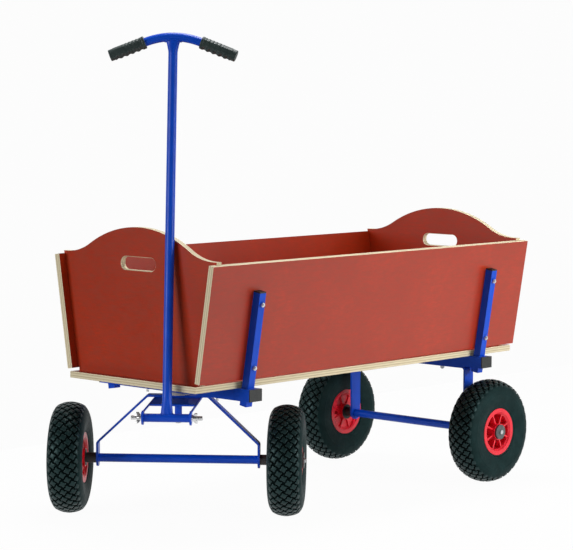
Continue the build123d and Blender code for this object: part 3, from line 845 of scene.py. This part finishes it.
def add_node(tree, kind, operation=None):
    made = tree.nodes.new(kind)
    if operation:
        made.operation = operation
    return made


def plain_rays(tree, path, *more):
    """Factor that is 1 for rays that should see the plain white background."""
    factor = path.outputs["Is Camera Ray"]
    for kind in ("Is Transmission Ray", *more):
        either = add_node(tree, "ShaderNodeMath", "MAXIMUM")
        tree.links.new(factor, either.inputs[0])
        tree.links.new(path.outputs[kind], either.inputs[1])
        factor = either.outputs[0]
    return factor


def white_floor():
    """Floor seen and mirrored nearly plain white, so only a trace of the shadow stays."""
    material = bpy.data.materials.new("floor_white")
    material.use_nodes = True
    tree = material.node_tree
    tree.nodes.clear()
    output = add_node(tree, "ShaderNodeOutputMaterial")
    diffuse = add_node(tree, "ShaderNodeBsdfDiffuse")
    diffuse.inputs["Color"].default_value = FLOOR_GREY
    glow = add_node(tree, "ShaderNodeEmission")
    blend = add_node(tree, "ShaderNodeMixShader")
    path = add_node(tree, "ShaderNodeLightPath")
    seen = add_node(tree, "ShaderNodeMath", "MULTIPLY")
    seen.inputs[1].default_value = FLOOR_GLOW
    tree.links.new(plain_rays(tree, path, "Is Glossy Ray"), seen.inputs[0])
    tree.links.new(seen.outputs[0], blend.inputs[0])
    tree.links.new(diffuse.outputs[0], blend.inputs[1])
    tree.links.new(glow.outputs[0], blend.inputs[2])
    tree.links.new(blend.outputs[0], output.inputs[0])
    return material


def studio_world():
    """White to the camera; elsewhere bright on one side, and mirrored white on another."""
    world = bpy.data.worlds.new("studio")
    world.use_nodes = True
    tree = world.node_tree
    background = tree.nodes["Background"]
    background.inputs["Color"].default_value = BACKGROUND
    path = add_node(tree, "ShaderNodeLightPath")
    coords = add_node(tree, "ShaderNodeTexCoord")
    levels = []
    for direction, limits in (ROOM_LIGHT, ROOM_MIRRORED):
        toward = add_node(tree, "ShaderNodeVectorMath", "DOT_PRODUCT")
        toward.inputs[1].default_value = direction
        tree.links.new(coords.outputs["Generated"], toward.inputs[0])
        level = add_node(tree, "ShaderNodeMapRange")
        tree.links.new(toward.outputs["Value"], level.inputs[0])
        for socket, value in zip(list(level.inputs)[1:], limits):
            socket.default_value = value
        levels.append(level.outputs[0])
    room = add_node(tree, "ShaderNodeMix")
    tree.links.new(path.outputs["Is Glossy Ray"], room.inputs[0])
    tree.links.new(levels[0], room.inputs[2])
    tree.links.new(levels[1], room.inputs[3])
    strength = add_node(tree, "ShaderNodeMath", "MAXIMUM")
    tree.links.new(plain_rays(tree, path), strength.inputs[0])
    tree.links.new(room.outputs[0], strength.inputs[1])
    tree.links.new(strength.outputs[0], background.inputs["Strength"])
    return world


floor_corners = [
    (FLOOR_NEAR_X, FLOOR_NEAR_Y, 0), (FLOOR_FAR, FLOOR_NEAR_Y, 0),
    (FLOOR_FAR, FLOOR_FAR, 0), (FLOOR_NEAR_X, FLOOR_FAR, 0)]
floor_mesh = bpy.data.meshes.new("studio_floor")
floor_mesh.from_pydata(floor_corners, [], [(0, 1, 2, 3)])
floor_mesh.materials.append(white_floor())
floor = bpy.data.objects.new("studio_floor", floor_mesh)
bpy.context.scene.collection.objects.link(floor)
floor.location.z = -FLOOR_DROP
bpy.context.scene.world = studio_world()


# Lamps

def area_lamp(name, spot, aim, size, power, spread=180.0):
    """A rectangular lamp; its power is in watts and its spread in degrees."""
    lamp = bpy.data.lights.new(name, "AREA")
    lamp.shape = "RECTANGLE"
    lamp.size, lamp.size_y = size
    lamp.energy = power
    lamp.spread = math.radians(spread)
    holder = bpy.data.objects.new(name, lamp)
    bpy.context.scene.collection.objects.link(holder)
    holder.location = spot
    holder.rotation_euler = (Vector(aim) - Vector(spot)).to_track_quat("-Z", "Y").to_euler()


area_lamp("front_key", (-2.34, -8.15, 1.86), (0.0, -0.3, 0.45), size=(4.8, 2.6), power=360.0)
area_lamp(
    "side_key", (3.0, 1.25, 0.90), (0.25, 0.45, 0.30), size=(1.3, 1.3), power=13.2, spread=80.0)
area_lamp(
    "low_fill", (3.3, -3.7, 0.35), (0.25, 0.45, 0.32), size=(2.5, 0.6), power=0.9, spread=40.0)
area_lamp("top_light", (-0.25, 0.35, 3.4), (0.0, 0.0, 0.4), size=(1.0, 1.0), power=70.0)


# Camera, as fitted to the photograph

CAMERA_PLACE = (3.86436, -4.22407, 1.03619)
AZIMUTH = math.radians(42.41)
ELEVATION = math.radians(4.97)
ROLL = math.radians(0.27)
FOCAL_PIXELS = 2359.24
IMAGE_WIDTH = 573
SENSOR_WIDTH = 36.0

level_reach = math.cos(ELEVATION)
back = Vector((
    math.sin(AZIMUTH) * level_reach, -math.cos(AZIMUTH) * level_reach, math.sin(ELEVATION)))
right = Vector((math.cos(AZIMUTH), math.sin(AZIMUTH), 0))
up = back.cross(right)
turned_right = math.cos(ROLL) * right + math.sin(ROLL) * up
turned_up = math.cos(ROLL) * up - math.sin(ROLL) * right
axes = Matrix((turned_right, turned_up, back)).transposed().to_4x4()
lens = bpy.data.cameras.new("camera")
lens.sensor_width = SENSOR_WIDTH
lens.sensor_fit = "HORIZONTAL"
lens.lens = FOCAL_PIXELS * SENSOR_WIDTH / IMAGE_WIDTH
lens.clip_end = 100.0
camera = bpy.data.objects.new("camera", lens)
bpy.context.scene.collection.objects.link(camera)
camera.matrix_world = Matrix.Translation(CAMERA_PLACE) @ axes
bpy.context.scene.camera = camera
bpy.context.scene.view_settings.view_transform = "Standard"
